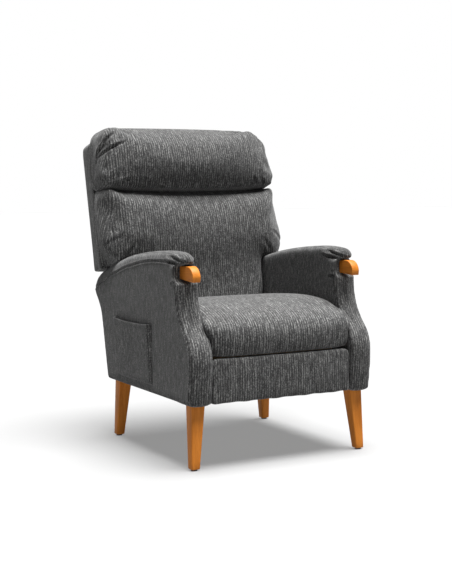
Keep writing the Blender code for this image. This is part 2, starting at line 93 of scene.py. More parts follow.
def baked(obj):
    """Replace an object's mesh by its evaluated one and drop the modifiers."""
    graph = bpy.context.evaluated_depsgraph_get()
    mesh = bpy.data.meshes.new_from_object(obj.evaluated_get(graph))
    obj.modifiers.clear()
    old, obj.data = obj.data, mesh
    bpy.data.meshes.remove(old)
    mesh.name = obj.name
    return obj


def get_points(obj):
    points = np.empty(len(obj.data.vertices) * 3)
    obj.data.vertices.foreach_get("co", points)
    return points.reshape(-1, 3)


def set_points(obj, points):
    obj.data.vertices.foreach_set("co", np.ascontiguousarray(points).ravel())
    obj.data.update()


def get_normals(obj):
    normals = np.empty(len(obj.data.vertices) * 3)
    obj.data.vertex_normals.foreach_get("vector", normals)
    return normals.reshape(-1, 3)


def remesh(obj, voxel):
    mod = obj.modifiers.new("voxels", "REMESH")
    mod.mode = "VOXEL"
    mod.voxel_size = voxel
    mod.use_smooth_shade = True
    return baked(obj)


def subdivide(obj, levels=1):
    mod = obj.modifiers.new("subdivide", "SUBSURF")
    mod.levels = mod.render_levels = levels
    baked(obj)
    obj.data.shade_smooth()
    return obj


def relax(obj, rounds, weight=None, keep=0.5):
    """Laplacian smoothing; weight is 0 to 1 for each vertex."""
    edges = np.empty(len(obj.data.edges) * 2, dtype=np.int64)
    obj.data.edges.foreach_get("vertices", edges)
    first, second = edges.reshape(-1, 2).T
    points = get_points(obj)
    count = len(points)
    degree = np.bincount(first, minlength=count) + np.bincount(second, minlength=count)
    degree = np.maximum(degree, 1)[:, None]
    share = keep if weight is None else keep * weight[:, None]
    for _ in range(rounds):
        total = np.stack([np.bincount(first, points[second, axis], count)
                          + np.bincount(second, points[first, axis], count) for axis in range(3)], axis=1)
        points = points + (total / degree - points) * share
    set_points(obj, points)


def ramp(value, low, high):
    """0 below low, 1 above high, smooth between."""
    t = np.clip((value - low) / (high - low), 0.0, 1.0)
    return t * t * (3 - 2 * t)


def bell(value, centre, width):
    return np.exp(-((value - centre) / width) ** 2)


def push(obj, amount, direction=None):
    """Move each vertex by its own amount, along its normal or a fixed direction."""
    way = get_normals(obj) if direction is None else np.array(direction, dtype=float)
    set_points(obj, get_points(obj) + np.asarray(amount)[:, None] * way)


def nearest_on_path(points, path):
    """For each point: the vector from the nearest place on a polyline, and how far along that place is."""
    path = np.asarray(path, dtype=float)
    best = np.full(len(points), np.inf)
    gaps = np.zeros_like(points)
    places = np.zeros(len(points))
    for number, (start, end) in enumerate(zip(path[:-1], path[1:])):
        way = end - start
        along = np.clip((points - start) @ way / max(way @ way, 1e-12), 0, 1)
        gap = points - start - along[:, None] * way
        length = np.einsum("ij,ij->i", gap, gap)
        closer = length < best
        best[closer] = length[closer]
        gaps[closer] = gap[closer]
        places[closer] = (number + along[closer]) / (len(path) - 1)
    return gaps, places


def seam(obj, path, depth=0.0022, width=0.0026):
    """A sewn line: a narrow valley with the cloth swelling a little on both sides."""
    gap = np.linalg.norm(nearest_on_path(get_points(obj), path)[0], axis=1)
    push(obj, -depth * np.exp(-(gap / width) ** 2) + 0.4 * depth * bell(gap, 2.4 * width, width))


def crease(obj, path, depth, width, lean=(0.0, 0.0, 1.0)):
    """A fold along a path laid on the skin, fading at its ends: a valley and a ridge on the lean side."""
    points = get_points(obj)
    line = np.array(curve_through([tuple(p) for p in path], 5))
    line = np.array([points[np.argmin(((points - place) ** 2).sum(axis=1))] for place in line])
    gaps, places = nearest_on_path(points, line)
    fade = np.sin(np.pi * np.clip(places, 0.04, 0.96)) ** 0.7
    gap = np.linalg.norm(gaps, axis=1)
    lean = np.array(lean, dtype=float) / np.linalg.norm(lean)
    above = ramp(gaps @ lean / np.maximum(gap, 1e-9), -0.1, 0.7)
    push(obj, fade * depth * (0.5 * above * bell(gap, 2.0 * width, width) - bell(gap, 0.0, width)))


def between(before, here, there, after, t):
    """One coordinate of a Catmull-Rom curve, at the share t of the way from here to there."""
    square = 2 * before - 5 * here + 4 * there - after
    cube = 3 * here - before - 3 * there + after
    return 0.5 * (2 * here + (there - before) * t + square * t ** 2 + cube * t ** 3)


def curve_through(points, steps):
    """A smooth open line through the points."""
    ends = [points[0], *points, points[-1]]
    line = []
    for four in zip(ends, ends[1:], ends[2:], ends[3:]):
        for k in range(steps):
            line.append(tuple(between(*values, k / steps) for values in zip(*four)))
    line.append(tuple(points[-1]))
    return line


def arc(centre, radius, start, end, steps):
    turn = [math.radians(start + (end - start) * k / steps) for k in range(steps + 1)]
    return [(centre[0] + radius * math.cos(a), centre[1] + radius * math.sin(a)) for a in turn]


def prism(name, axis, outline, start, end):
    """A closed solid: an outline across an axis, carried from start to end along it."""
    order = {"x": (0, 1, 2), "y": (1, 0, 2), "z": (1, 2, 0)}[axis]

    def place(along, u, v):
        return tuple((along, u, v)[k] for k in order)

    count = len(outline)
    points = [place(start, u, v) for u, v in outline] + [place(end, u, v) for u, v in outline]
    faces = [tuple(range(count - 1, -1, -1)), tuple(range(count, 2 * count))]
    faces += [(k, (k + 1) % count, count + (k + 1) % count, count + k) for k in range(count)]
    obj = mesh_object(name, points, faces)
    area = sum(outline[i - 1][0] * outline[i][1] - outline[i][0] * outline[i - 1][1] for i in range(count))
    if (area < 0) == (axis != "y"):
        obj.data.flip_normals()
    return obj


def inflate(obj, pinned, cap, pressure=4.0, frames=20):
    """Blow the skin up as cloth, holding the pinned vertices, then keep at most cap of the movement."""
    before = get_points(obj)
    group = obj.vertex_groups.new(name="pinned")
    for index in np.nonzero(pinned)[0]:
        group.add([int(index)], 1.0, "REPLACE")
    mod = obj.modifiers.new("cloth", "CLOTH")
    mod.settings.use_pressure = True
    mod.settings.uniform_pressure_force = pressure
    mod.settings.tension_stiffness = 12
    mod.settings.compression_stiffness = 12
    mod.settings.shear_stiffness = 5
    mod.settings.bending_stiffness = 0.4
    mod.settings.vertex_group_mass = "pinned"
    mod.settings.effector_weights.gravity = 0
    mod.point_cache.frame_start = 1
    mod.point_cache.frame_end = frames
    scene = bpy.context.scene
    for number in range(1, frames + 1):
        scene.frame_set(number)
    baked(obj)
    obj.vertex_groups.clear()
    moved = get_points(obj) - before
    length = np.linalg.norm(moved, axis=1, keepdims=True)
    set_points(obj, before + moved * np.minimum(1.0, cap / np.maximum(length, 1e-9)))
    scene.frame_set(1)


# ---------------------------------------------------------------- materials
class Nodes:
    """A short way to write a node tree."""

    def __init__(self, name):
        self.mat = bpy.data.materials.new(name)
        self.mat.use_nodes = True
        self.tree = self.mat.node_tree
        self.shader = self.tree.nodes["Principled BSDF"]

    def add(self, kind, **values):
        node = self.tree.nodes.new(kind)
        for key, value in values.items():
            setattr(node, key, value)
        return node

    def join(self, source, target):
        self.tree.links.new(source, target)

    def math(self, operation, first, second=None, third=None, clamp=False):
        node = self.add("ShaderNodeMath", operation=operation, use_clamp=clamp)
        for socket, value in zip(node.inputs, (first, second, third)):
            if value is None:
                continue
            if isinstance(value, (int, float)):
                socket.default_value = value
            else:
                self.join(value, socket)
        return node.outputs[0]

    def mix(self, share, first, second, blend="MIX"):
        node = self.add("ShaderNodeMix", data_type="RGBA", blend_type=blend)
        for socket, value in ((node.inputs[0], share), (node.inputs[6], first), (node.inputs[7], second)):
            if isinstance(value, (int, float)):
                socket.default_value = value
            elif isinstance(value, tuple):
                socket.default_value = (*value, 1.0)
            else:
                self.join(value, socket)
        return node.outputs[2]

    def noise(self, vector, scale, detail=2.0, roughness=0.5, distortion=0.0):
        node = self.add("ShaderNodeTexNoise")
        node.inputs["Scale"].default_value = scale
        node.inputs["Detail"].default_value = detail
        node.inputs["Roughness"].default_value = roughness
        node.inputs["Distortion"].default_value = distortion
        self.join(vector, node.inputs["Vector"])
        return node.outputs["Fac"]

    def stretch(self, vector, scale):
        node = self.add("ShaderNodeVectorMath", operation="MULTIPLY")
        node.inputs[1].default_value = scale
        self.join(vector, node.inputs[0])
        return node.outputs[0]

    def colours(self, value, stops):
        node = self.add("ShaderNodeValToRGB")
        band = node.color_ramp
        while len(band.elements) < len(stops):
            band.elements.new(0.5)
        for element, (place, colour) in zip(band.elements, stops):
            element.position = place
            element.color = (*colour, 1.0)
        self.join(value, node.inputs["Fac"])
        return node.outputs["Color"]

    def bump(self, height, strength, distance, below=None):
        node = self.add("ShaderNodeBump")
        node.inputs["Strength"].default_value = strength
        node.inputs["Distance"].default_value = distance
        self.join(height, node.inputs["Height"])
        if below:
            self.join(below, node.inputs["Normal"])
        return node.outputs["Normal"]

    def finish(self, colour, normal=None, roughness=0.5, **fixed):
        if isinstance(colour, tuple):
            self.shader.inputs["Base Color"].default_value = (*colour, 1.0)
        else:
            self.join(colour, self.shader.inputs["Base Color"])
        if isinstance(roughness, (int, float)):
            self.shader.inputs["Roughness"].default_value = roughness
        else:
            self.join(roughness, self.shader.inputs["Roughness"])
        if normal:
            self.join(normal, self.shader.inputs["Normal"])
        for key, value in fixed.items():
            self.shader.inputs[key.replace("_", " ")].default_value = value
        return self.mat


YARN = 0.0043         # width of one rib of the chenille; darker and paler ribs alternate
CHENILLE_DARK = (0.009, 0.009, 0.0094)
CHENILLE_MID = (0.031, 0.031, 0.0315)
CHENILLE_PALE = (0.084, 0.084, 0.083)
CHENILLE_FLECK = (0.21, 0.21, 0.205)


def weave_layer(n, place, across):
    """Tone and height of the ribbed weave where its ribs are counted along the axis named across."""

    def drawn(along):
        return n.stretch(place, tuple(1.0 if axis == across else along for axis in "xyz"))

    parts = n.add("ShaderNodeSeparateXYZ")
    n.join(place, parts.inputs[0])
    count = parts.outputs["xyz".index(across)]
    wander = n.noise(drawn(0.10), 30.0, 2.0)
    turns = n.math("ADD", n.math("MULTIPLY", count, math.pi / YARN), n.math("MULTIPLY", wander, 5.0))
    pair = n.math("MULTIPLY_ADD", n.math("SINE", turns), 0.5, 0.5)
    ridge = n.math("MULTIPLY_ADD", n.math("SINE", n.math("MULTIPLY", turns, 2.0)), 0.5, 0.5)
    streak = n.noise(drawn(0.13), 270.0, 2.0, 0.6)
    fleck = n.noise(drawn(0.50), 400.0, 2.0, 0.7)
    tone = n.math("ADD", n.math("MULTIPLY", streak, 0.38), n.math("MULTIPLY", fleck, 0.53))
    tone = n.math("ADD", tone, n.math("MULTIPLY", pair, 0.09))
    height = n.math("ADD", n.math("MULTIPLY", ridge, 0.55), n.math("MULTIPLY", fleck, 0.45))
    return tone, height


def chenille():
    """Dark grey ribbed chenille with pale flecks; the ribs run down every panel."""
    n = Nodes("chenille")
    spot = n.add("ShaderNodeTexCoord")
    place = spot.outputs["Object"]
    facing = n.add("ShaderNodeSeparateXYZ")
    n.join(spot.outputs["Normal"], facing.inputs[0])
    sideways = n.math("SUBTRACT", n.math("ABSOLUTE", facing.outputs[0]), 0.66)
    side = n.math("MULTIPLY", sideways, 12.0, clamp=True)
    tone_front, high_front = weave_layer(n, place, "x")
    tone_side, high_side = weave_layer(n, place, "y")

    def either(first, second):
        kept = n.math("MULTIPLY", first, n.math("SUBTRACT", 1.0, side))
        return n.math("ADD", kept, n.math("MULTIPLY", second, side))

    tone, height = either(tone_front, tone_side), either(high_front, high_side)
    colour = n.colours(tone, ((0.41, CHENILLE_DARK), (0.485, CHENILLE_MID), (0.555, CHENILLE_PALE),
                              (0.64, CHENILLE_FLECK)))
    cloud = n.noise(place, 9.0, 3.0)
    colour = n.mix(n.math("MULTIPLY", cloud, 0.24), colour, (0.040, 0.037, 0.033))
    pile = n.noise(place, 1500.0, 1.0)
    normal = n.bump(pile, 0.25, 0.0004, n.bump(height, 0.60, 0.0012))
    return n.finish(colour, normal, 0.92, Sheen_Weight=0.12, Sheen_Roughness=0.5, Specular_IOR_Level=0.25)


def timber(name, along, light, dark, roughness=0.50, coat=0.03, scale=1.0):
    """Wood whose grain runs along one axis: growth bands, fibres and fine dark pores."""
    n = Nodes(name)
    place = n.add("ShaderNodeTexCoord").outputs["Object"]

    def drawn(share):
        return n.stretch(place, tuple(share if axis == along else 1.0 for axis in "xyz"))

    band = n.noise(drawn(0.09), 42.0 * scale, 3.0, 0.6, 1.4)
    thread = n.noise(drawn(0.02), 520.0, 2.0, 0.6)
    pore = n.noise(drawn(0.035), 900.0, 1.0)
    figure = n.math("ADD", n.math("MULTIPLY", band, 0.72), n.math("MULTIPLY", thread, 0.28))
    colour = n.colours(figure, ((0.30, dark), (0.62, light)))
    pores = n.math("MULTIPLY", n.math("SUBTRACT", pore, 0.60), 6.0, clamp=True)
    colour = n.mix(n.math("MULTIPLY", pores, 0.45), colour, tuple(0.35 * c for c in dark))
    normal = n.bump(n.math("SUBTRACT", thread, n.math("MULTIPLY", pores, 0.6)), 0.18, 0.0004)
    polish = n.math("MULTIPLY_ADD", thread, 0.18, roughness - 0.09)
    return n.finish(colour, normal, polish, Specular_IOR_Level=0.15, Coat_Weight=coat, Coat_Roughness=0.25)


def paint():
    """Satin black paint on pressed steel, with a faint orange peel and rubbed patches."""
    n = Nodes("black_steel")
    place = n.add("ShaderNodeTexCoord").outputs["Object"]
    rub = n.noise(place, 60.0, 4.0, 0.7)
    colour = n.colours(rub, ((0.35, (0.018, 0.018, 0.020)), (0.75, (0.050, 0.050, 0.053))))
    return n.finish(colour, n.bump(n.noise(place, 700.0, 1.0), 0.12, 0.0005),
                    n.math("MULTIPLY_ADD", rub, 0.3, 0.25), Metallic=0.4)


def wire():
    """Drawn spring steel."""
    n = Nodes("spring_wire")
    place = n.add("ShaderNodeTexCoord").outputs["Object"]
    tone = n.noise(place, 160.0, 3.0)
    colour = n.colours(tone, ((0.3, (0.26, 0.25, 0.24)), (0.7, (0.46, 0.46, 0.47))))
    polish = n.math("MULTIPLY_ADD", tone, 0.25, 0.22)
    return n.finish(colour, n.bump(tone, 0.1, 0.0003), polish, Metallic=1.0)


def plastic(name, colour, roughness):
    """Moulded plastic with a fine spark texture."""
    n = Nodes(name)
    place = n.add("ShaderNodeTexCoord").outputs["Object"]
    grain = n.noise(place, 1200.0, 2.0)
    tint = n.colours(grain, ((0.3, tuple(0.85 * c for c in colour)), (0.7, colour)))
    return n.finish(tint, n.bump(grain, 0.15, 0.0003), roughness)


def lining():
    """Thin black non-woven cloth."""
    n = Nodes("black_lining")
    place = n.add("ShaderNodeTexCoord").outputs["Object"]
    fibre = n.noise(place, 420.0, 4.0, 0.8, 1.5)
    colour = n.colours(fibre, ((0.35, (0.008, 0.008, 0.009)), (0.70, (0.045, 0.045, 0.048))))
    return n.finish(colour, n.bump(fibre, 0.5, 0.0006), 0.95)


def thread_material():
    """Dark twisted sewing thread."""
    n = Nodes("sewing_thread")
    place = n.add("ShaderNodeTexCoord").outputs["Object"]
    twist = n.noise(place, 900.0, 1.0)
    colour = n.colours(twist, ((0.3, (0.02, 0.02, 0.021)), (0.7, (0.055, 0.055, 0.057))))
    return n.finish(colour, n.bump(twist, 0.4, 0.0003), 0.8)


CLOTH = chenille()
WOOD_LIGHT, WOOD_DARK = (0.56, 0.190, 0.024), (0.38, 0.114, 0.009)
KNUCKLE_PAINTED_SHADE = 0.8                     # painted shade: the knuckles' wood is the leg wood darkened, to hold down the overhead light on their tops
LEG_WOOD = timber("leg_wood", "z", WOOD_LIGHT, WOOD_DARK)
KNUCKLE_WOOD_PAINTED_SHADE = timber("knuckle_wood_painted_shade", "y", tuple(KNUCKLE_PAINTED_SHADE * c for c in WOOD_LIGHT),
                      tuple(KNUCKLE_PAINTED_SHADE * c for c in WOOD_DARK))
THREAD = thread_material()


def dress(piece, body, material, slot, *nodes, fill=None):
    """Give a piece its material and body, and hide the CAD nodes it stands for; the slot is not used."""
    piece.data.materials.clear()
    piece.data.materials.append(material)
    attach(piece, body)
    if nodes:
        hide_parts(*nodes)
    return piece


# ---------------------------------------------------------------- arms
def arm_outline():
    """Side view of an arm, (distance behind the front panel's plane, height)."""
    face = [(-0.006, BASE_Z - UNDERSIDE), (-0.016, 0.290), (-0.019, 0.350), (-0.006, 0.396),
            (0.026, 0.434), (0.055, 0.474), (0.072, 0.518), (0.078, 0.560), (0.072, 0.600), (0.056, 0.640)]
    top = [(0.054, 0.656), (0.068, 0.668), (0.110, 0.674), (0.190, 0.677), (0.300, 0.671), (0.400, 0.661),
           (0.500, 0.646), (0.600, 0.624), (0.686, 0.602), (0.734, 0.586), (0.762, 0.569)]
    rear = [(0.776, 0.545), (0.768, 0.514), (0.738, 0.480), (0.712, 0.444), (0.698, 0.395),
            (0.676, 0.295), (0.655, BASE_Z - UNDERSIDE)]
    return curve_through(face + top + rear, 5)


TOPPER_SEAM = [(0.772, 0.524), (0.735, 0.539), (0.676, 0.556), (0.600, 0.583), (0.483, 0.614),
               (0.355, 0.636), (0.274, 0.645), (0.190, 0.648), (0.130, 0.645)]
FRONT_SEAM = [(0.100, 0.600), (0.090, 0.560), (0.081, 0.516), (0.063, 0.471), (0.036, 0.436),
              (0.006, 0.402), (-0.009, 0.355), (-0.007, 0.292), (0.003, 0.215)]
NOSE_NARROWING, NOSE_ROUNDING = 0.26, 0.034     # how the topper's front end is drawn in and rounded
OUTER_FALL, REAR_FULLNESS = 0.013, 0.006        # the topper's rear outer edge, and the cover's rear


def arm(name, side):
    """The padded cover of one arm, tight over its frame, with a sewn topper and a gathered front."""
    outline = [(front(y), z) for y, z in arm_outline()]
    piece = prism(f"upholstery_arm_{name}", "x", outline, *sorted((side * ARM_IN, side * ARM_OUT)))
    remesh(piece, ARM_VOXEL)
    points = get_points(piece)
    sewn_at = np.interp(points[:, 1], [front(y) for y, _ in reversed(TOPPER_SEAM)],
                        [z for _, z in reversed(TOPPER_SEAM)])
    relax(piece, 5)
    relax(piece, 26, ramp(points[:, 2] - sewn_at, -0.012, 0.012))

    points = get_points(piece)
    across = (np.abs(points[:, 0]) - ARM_MIDDLE) / ((ARM_OUT - ARM_IN) / 2)
    crown = np.clip(1 - across ** 2, 0, 1)
    above = ramp(points[:, 2] - sewn_at, 0.0, 0.03)
    face = ramp(-points[:, 1], -front(0.115), -front(0.060)) * (1 - above)
    push(piece, 0.0035 * crown * above + 0.0045 * crown * face)

    # the nose of the topper is drawn in and rounded off towards the sides
    points = get_points(piece)
    nose = ramp(points[:, 2], 0.630, 0.645) * ramp(-points[:, 1], -front(0.150), -front(0.060))
    middle = side * ARM_MIDDLE
    across = (points[:, 0] - middle) / ((ARM_OUT - ARM_IN) / 2)
    points[:, 0] = middle + (points[:, 0] - middle) * (1 - NOSE_NARROWING * nose)
    points[:, 1] += NOSE_ROUNDING * nose * across ** 2
    # its outer edge falls away towards the rear, and below it the cover is fuller behind
    behind = ramp(points[:, 1], front(0.420), front(0.700)) * ramp(points[:, 2] - sewn_at, 0.0, 0.02)
    points[:, 2] -= OUTER_FALL * behind * ramp(side * across, 0.1, 1.0)
    rear = ramp(points[:, 1], front(0.560), front(0.640))
    points[:, 1] += REAR_FULLNESS * rear * (1 - ramp(points[:, 2], 0.500, 0.540))
    set_points(piece, points)

    # the cloth stands back on both sides of the knuckle and leaves a slot for it
    points = get_points(piece)
    width = np.abs(points[:, 0])
    level = ramp(points[:, 2], KNUCKLE_LOW[2] - 0.008, KNUCKLE_LOW[2] + 0.004)
    level = level * (1 - ramp(points[:, 2], KNUCKLE_HIGH[2] - 0.001, KNUCKLE_HIGH[2] + 0.009))
    back_to = np.where(width < KNUCKLE_LOW[0] + 0.004, front(0.088), front(0.106))
    points[:, 1] += level * np.maximum(back_to - points[:, 1], 0)
    set_points(piece, points)
    relax(piece, 2, level)

    subdivide(piece)
    outer, inner = side * (ARM_OUT - 0.001), side * (ARM_IN + 0.001)
    seam(piece, [(outer, front(y), z) for y, z in TOPPER_SEAM], 0.0030, 0.0026)
    for x in (outer, inner):
        seam(piece, [(x, front(y), z) for y, z in FRONT_SEAM], 0.0026, 0.0024)
    top = KNUCKLE_HIGH[2]
    for x, sign in ((outer, 1.0), (inner, -1.0)):
        inward = -side * sign
        crease(piece, [(x, front(0.158), top + 0.016), (x + inward * 0.014, front(0.082), top + 0.001)],
               0.0060, 0.0040, (0, 0.2, 1))
        crease(piece, [(x, front(0.134), top + 0.031), (x + inward * 0.018, front(0.060), top + 0.010)],
               0.0046, 0.0036, (0, 0.2, 1))
        crease(piece, [(x, front(0.120), top - 0.058), (x + inward * 0.016, front(0.082), top - 0.052)],
               0.0032, 0.0040, (0, 0, 1))
    dress(piece, "base", CLOTH, "chenille", f"arm_cover_{name}", fill=0.5)


# ---------------------------------------------------------------- wooden pieces
def rounded(piece, width, segments=3):
    """Round the sharp edges of a wooden piece."""
    mod = piece.modifiers.new("round", "BEVEL")
    mod.width = width
    mod.segments = segments
    mod.limit_method = "ANGLE"
    mod.angle_limit = math.radians(32)
    baked(piece)
    piece.data.shade_smooth()
    piece.data.set_sharp_from_angle(angle=math.radians(40))


def knuckle(name):
    """The wooden knuckle that stands out of the front of an arm, with a quarter-round top."""
    low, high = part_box(f"knuckle_{name}")
    nose = arc((front(0.053), high[2] - 0.039), 0.039, 90, 172, 28)
    root = front(0.1095)
    outline = [(root, low[2] + 0.007), (root, high[2] - 0.0005), *nose, (front(0.0165), low[2])]
    piece = prism(f"wooden_knuckle_{name}", "x", outline, low[0], high[0])
    rounded(piece, 0.0028, 4)
    # the knuckle wood is the leg wood darkened as painted shade
    dress(piece, "base", KNUCKLE_WOOD_PAINTED_SHADE, "show_wood", f"knuckle_{name}")


def leg(end, name):
    """A square leg that tapers on its inner faces and splays a little outwards."""
    low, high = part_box(f"leg_{end}_{name}")
    side = 1.0 if low[0] > 0 else -1.0
    depth = -1.0 if end == "front" else 1.0
    top_size, foot_size, splay = 0.046, 0.029, 0.006
    foot_x = high[0] if side > 0 else low[0]
    foot_y = low[1] if depth < 0 else high[1]
    rings = []
    steps = 10
    for k in range(steps + 1):
        t = k / steps
        size = foot_size + (top_size - foot_size) * t
        x0, y0 = foot_x - side * splay * t, foot_y - depth * splay * t
        z = low[2] + (high[2] - low[2]) * t
        rings.append([(x0, y0, z), (x0 - side * size, y0, z), (x0 - side * size, y0 - depth * size, z),
                      (x0, y0 - depth * size, z)])
    points = [p for ring in rings for p in ring]
    faces = [(0, 1, 2, 3), tuple(4 * steps + k for k in (3, 2, 1, 0))]
    faces += [(4 * r + k, 4 * r + 4 + k, 4 * r + 4 + (k + 1) % 4, 4 * r + (k + 1) % 4)
              for r in range(steps) for k in range(4)]
    piece = mesh_object(f"wooden_leg_{end}_{name}", points, faces)
    if side * depth > 0:
        piece.data.flip_normals()
    rounded(piece, 0.0035, 3)
    dress(piece, "base", LEG_WOOD, "show_wood", f"leg_{end}_{name}")


# ---------------------------------------------------------------- seat and footrest
def seat_outline():
    """Side view of the seat cushion, open along its bottom: (distance behind the panel's plane, height)."""
    rise = SEAT_HIGH[2]
    face = [(0.002, SEAT_LOW[2]), (-0.008, 0.364), (-0.013, 0.395), (-0.012, 0.430), (0.000, 0.454)]
    top = [(0.040, 0.476), (0.130, rise - 0.016), (0.250, rise - 0.006), (0.380, rise - 0.014),
           (0.470, 0.474), (0.496, 0.458)]
    return curve_through(face + top, 5) + [(0.496, SEAT_LOW[2])]


def seat_shape(points, half):
    """Full shoulders, front corners that swell past the arms, a front edge that rests on the footrest."""
    points = points.copy()
    across = np.abs(points[:, 0]) / half
    height = (points[:, 2] - SEAT_LOW[2]) / (SEAT_HIGH[2] - SEAT_LOW[2])
    forward = ramp(-points[:, 1], -front(0.090), -front(-0.012))
    shoulder = ramp(-points[:, 1], -front(0.330), -front(0.100))
    lift = 0.010 * shoulder * bell(across, 0.86, 0.18) - 0.012 * across ** 8
    points[:, 2] += lift * ramp(height, 0.35, 1.0)
    free = ramp(-points[:, 1], -front(0.062), -front(0.018)) * ramp(points[:, 2], 0.405, 0.440)
    points[:, 0] *= 1 + 0.055 * free
    points[:, 1] += 0.009 * forward * across ** 8
    points[:, 2] -= 0.007 * forward * (1 - ramp(height, 0.0, 0.35)) * (1 - across ** 8)
    return points


def seat_cushion():
    """The crowned seat cushion, blown up as cloth and held along its edges, with a seam on each side."""
    outline = [(front(y), z) for y, z in seat_outline()]
    half = SEAT_HIGH[0] - 0.002
    piece = prism("upholstery_seat_cushion", "x", outline, -half, half)
    remesh(piece, CUSHION_VOXEL)
    set_points(piece, seat_shape(get_points(piece), half))
    relax(piece, 4)
    points = get_points(piece)
    edge = np.abs(points[:, 0]) > half - 0.012
    floor = points[:, 2] < SEAT_LOW[2] + 0.010
    rear = points[:, 1] > front(0.480)
    inflate(piece, edge | floor | rear, 0.022)
    relax(piece, 3)
    subdivide(piece)
    for sign in (1.0, -1.0):
        path = np.array([(sign * (half - 0.0015), y, z) for y, z in outline[:-1]])
        seam(piece, seat_shape(path, half), 0.0034, 0.0030)
    dress(piece, "seat", CLOTH, "chenille", "seat_cushion", fill=0.75)


def footrest_pad():
    """The padded front panel, with rounded top corners and a slightly wavy top edge."""
    half, corner = PAD_HIGH[0], 0.020
    low, high = PAD_LOW[2] - 2 * UNDERSIDE, PAD_HIGH[2] + 0.003
    outline = [(-half, low), (half, low), *arc((half - corner, high - corner), corner, 0, 90, 8),
               *arc((-half + corner, high - corner), corner, 90, 180, 8)]
    piece = prism("upholstery_footrest", "y", outline, PAD_LOW[1] + 0.004, PAD_HIGH[1])
    remesh(piece, PAD_VOXEL)
    relax(piece, 5)
    points = get_points(piece)
    forward = ramp(-points[:, 1], -PAD_HIGH[1] + 0.004, -PAD_LOW[1])
    bulge = np.clip(1 - (points[:, 0] / half) ** 4, 0, 1) * np.sin(
        np.pi * np.clip((points[:, 2] - low) / (high - low), 0, 1)) ** 0.5
    wave = 0.0008 * np.sin(points[:, 0] * 61) + 0.0006 * np.sin(points[:, 0] * 113 + 1.0)
    points[:, 1] -= forward * 0.0055 * bulge
    points[:, 2] += wave * (1 - ramp(points[:, 2], low, low + 0.02))
    set_points(piece, points)
    subdivide(piece)
    dress(piece, "footrest", CLOTH, "chenille", "footrest_pad", "footrest_board", fill=0.5)


# ---------------------------------------------------------------- back
BACK_FRAME = Matrix.Translation(BACK_PIVOT) @ Matrix.Rotation(-BACK_LEAN, 4, "X")
BACK_FRONT, BACK_REAR = -0.066, 0.002
WING_FOOT, BACK_FOOT, BACK_TOP, SEAM_W = 0.052, -0.225, 0.500, 0.318
BACK_NARROW = 0.2435
# the cushions' widest lines, as (height in the back's frame, half-width); +X is the sitter's left
LUMBAR_SIDE = [(0.075, 0.335), (0.100, 0.354), (0.131, 0.364), (0.213, 0.365), (0.284, 0.360),
               (0.308, 0.350)]
HEAD_LEFT = [(0.340, 0.342), (0.361, 0.348), (0.417, 0.343), (0.478, 0.330), (0.500, 0.321)]
HEAD_RIGHT = [(0.340, 0.347), (0.361, 0.351), (0.441, 0.351), (0.500, 0.345)]


def tee(wide, narrow, foot, shoulder, top, corner, steps=6):
    """Front view of a back unit: narrow between the arms, wide above them, with rounded top corners."""
    half = [(narrow, foot), (narrow, shoulder), (wide, shoulder),
            *arc((wide - corner, top - corner), corner, 0, 90, steps)]
    return half + [(-x, w) for x, w in reversed(half)]


def to_row(piece):
    """Turn a piece that was made upright in the back's own frame into place."""
    piece.data.transform(BACK_FRAME)
    piece.data.update()


def row_path(points):
    return [tuple(BACK_FRAME @ Vector(p)) for p in points]


def fit_side(piece, side, outline, hold=0.26):
    """Scale one side of a cushion, beyond hold, so that its widest line follows the outline."""
    heights, widths = zip(*outline)
    points = get_points(piece)
    out = side * points[:, 0]
    forward = (points[:, 1] < -0.085) & (out > hold)
    levels = np.linspace(heights[0], heights[-1], 24)
    reach = levels[1] - levels[0]
    widest = np.array([out[forward & (np.abs(points[:, 2] - level) < reach)].max() for level in levels])
    widest = np.convolve(np.pad(widest, 2, mode="edge"), np.full(5, 0.2), mode="valid")
    factor = (np.interp(levels, heights, widths) - hold) / (widest - hold)
    scale = 1 + (np.interp(points[:, 2], levels, factor) - 1) * ramp(-points[:, 1], 0.070, 0.100)
    points[:, 0] = np.where(out > hold, side * (hold + (out - hold) * scale), points[:, 0])
    set_points(piece, points)


def outer_back():
    """The cover round the back's frame, with a sewn rim behind."""
    outline = tee(BACK_WIDE + 0.002, BACK_NARROW, BACK_FOOT, WING_FOOT - 0.003, BACK_TOP + 0.007, 0.022)
    piece = prism("upholstery_back_outer", "y", outline, BACK_FRONT, BACK_REAR)
    remesh(piece, CUSHION_VOXEL)
    relax(piece, 5)
    points = get_points(piece)
    behind = ramp(points[:, 1], BACK_FRONT + 0.02, BACK_REAR)
    swell = np.clip(1 - (points[:, 0] / BACK_WIDE) ** 2, 0, 1) * np.sin(
        np.pi * np.clip((points[:, 2] - BACK_FOOT) / (BACK_TOP - BACK_FOOT), 0, 1)) ** 0.6
    points[:, 1] += 0.006 * behind * swell
    set_points(piece, points)
    subdivide(piece)
    trim = 0.006
    rim = tee(BACK_WIDE - trim, BACK_NARROW - trim, BACK_FOOT + trim, WING_FOOT + trim, BACK_TOP - trim,
              0.030, 10)
    rim.append(rim[0])
    seam(piece, [(x, BACK_REAR, w) for x, w in rim], 0.0028, 0.0026)
    to_row(piece)
    rest_on_arms(piece, 0.010)
    dress(piece, "back", CLOTH, "chenille", "back_outer_cover", fill=0.3)


def seam_height(x):
    """The seam between lumbar and headrest dips a little in the middle."""
    return SEAM_W + 0.004 - 0.014 * (1 - (x / BACK_WIDE) ** 2)


def arm_top(y):
    """Height of the arms' top line at y."""
    line = [(front(a), z) for a, z in arm_outline() if z > 0.5 and a > 0.08]
    line = sorted(p for p in line if p[0] < front(0.770))
    return np.interp(y, [p[0] for p in line], [p[1] for p in line])


